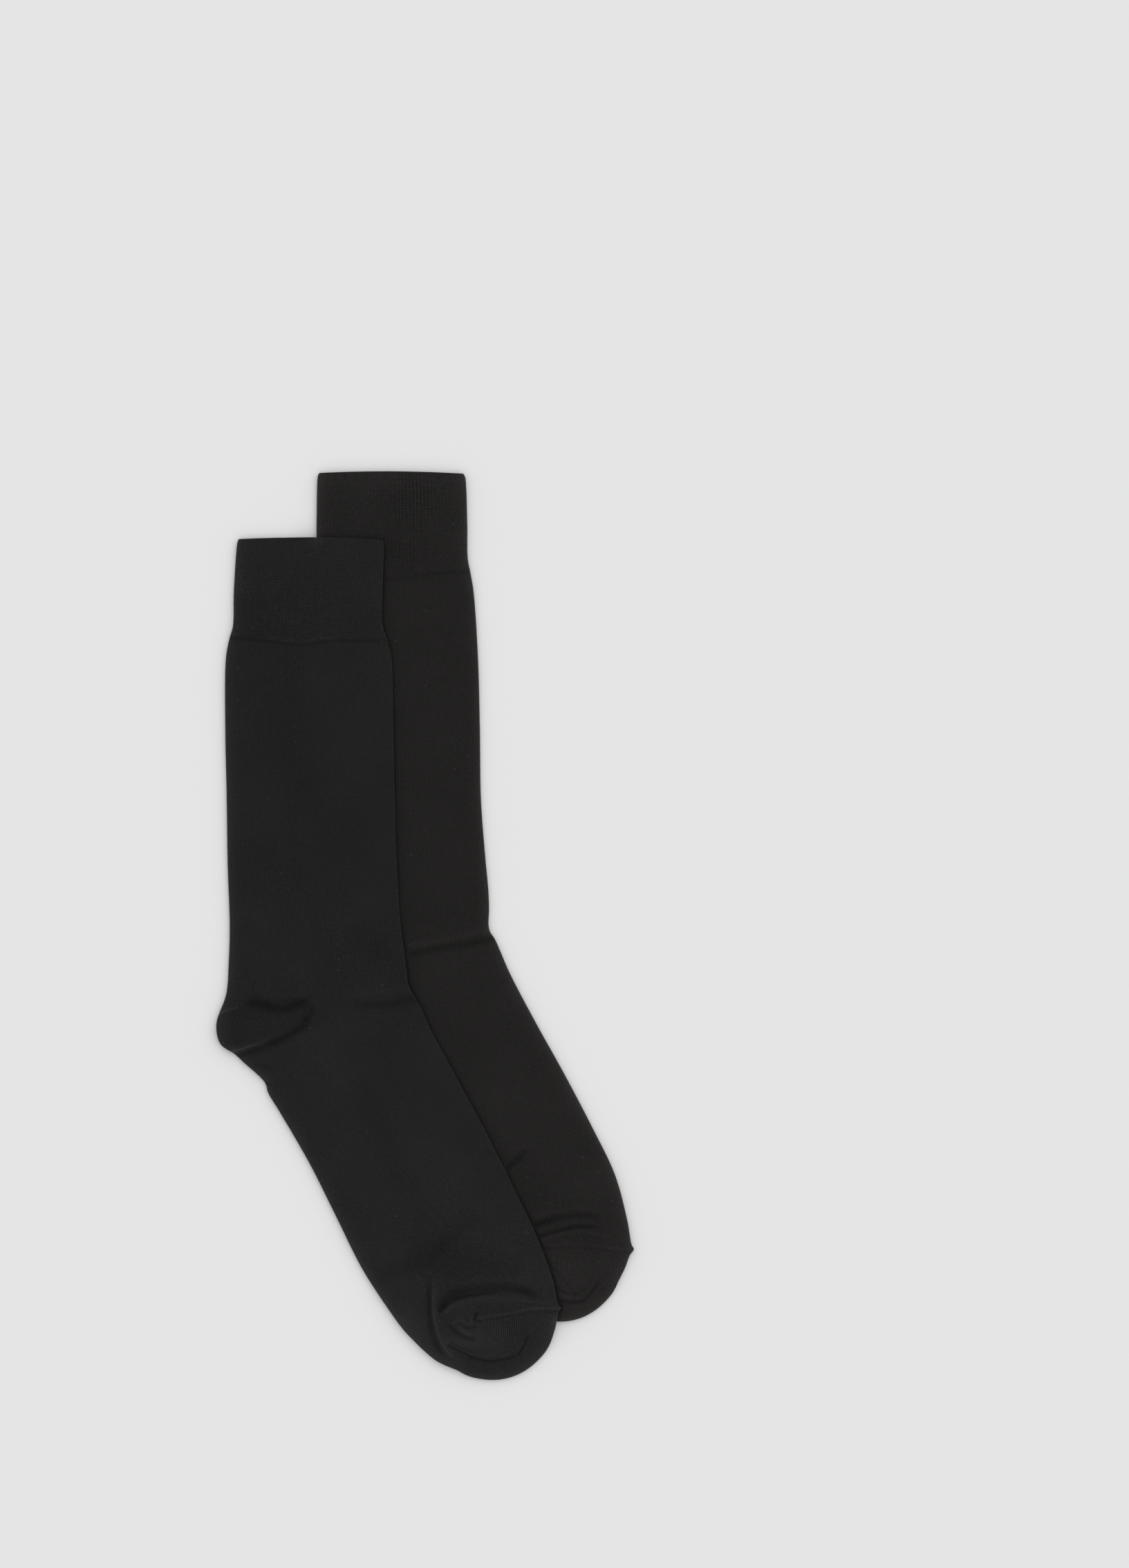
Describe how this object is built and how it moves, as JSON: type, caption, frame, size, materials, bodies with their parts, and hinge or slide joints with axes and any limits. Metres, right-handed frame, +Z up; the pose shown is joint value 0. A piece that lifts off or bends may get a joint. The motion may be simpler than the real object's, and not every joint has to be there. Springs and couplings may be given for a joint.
{
  "type": "pair of socks",
  "caption": "Pair of plain knitted mid-calf dress socks laid flat on their sides, one sock lying half over the other.",
  "frame": {"origin": "middle of the pair in plan, on the surface it lies on", "axes": "+Y from the toes towards the cuffs, +X from the heels towards the insteps, +Z up from the surface"},
  "size_m": [0.2406, 0.5252, 0.0073],
  "materials": {
    "sock_knit": "matt black fine-gauge plain knit with a mock-rib cuff"
  },
  "bodies": {
    "root": {"sock_under": "sock_knit", "sock_over": "sock_knit"}
  },
  "joints": []
}
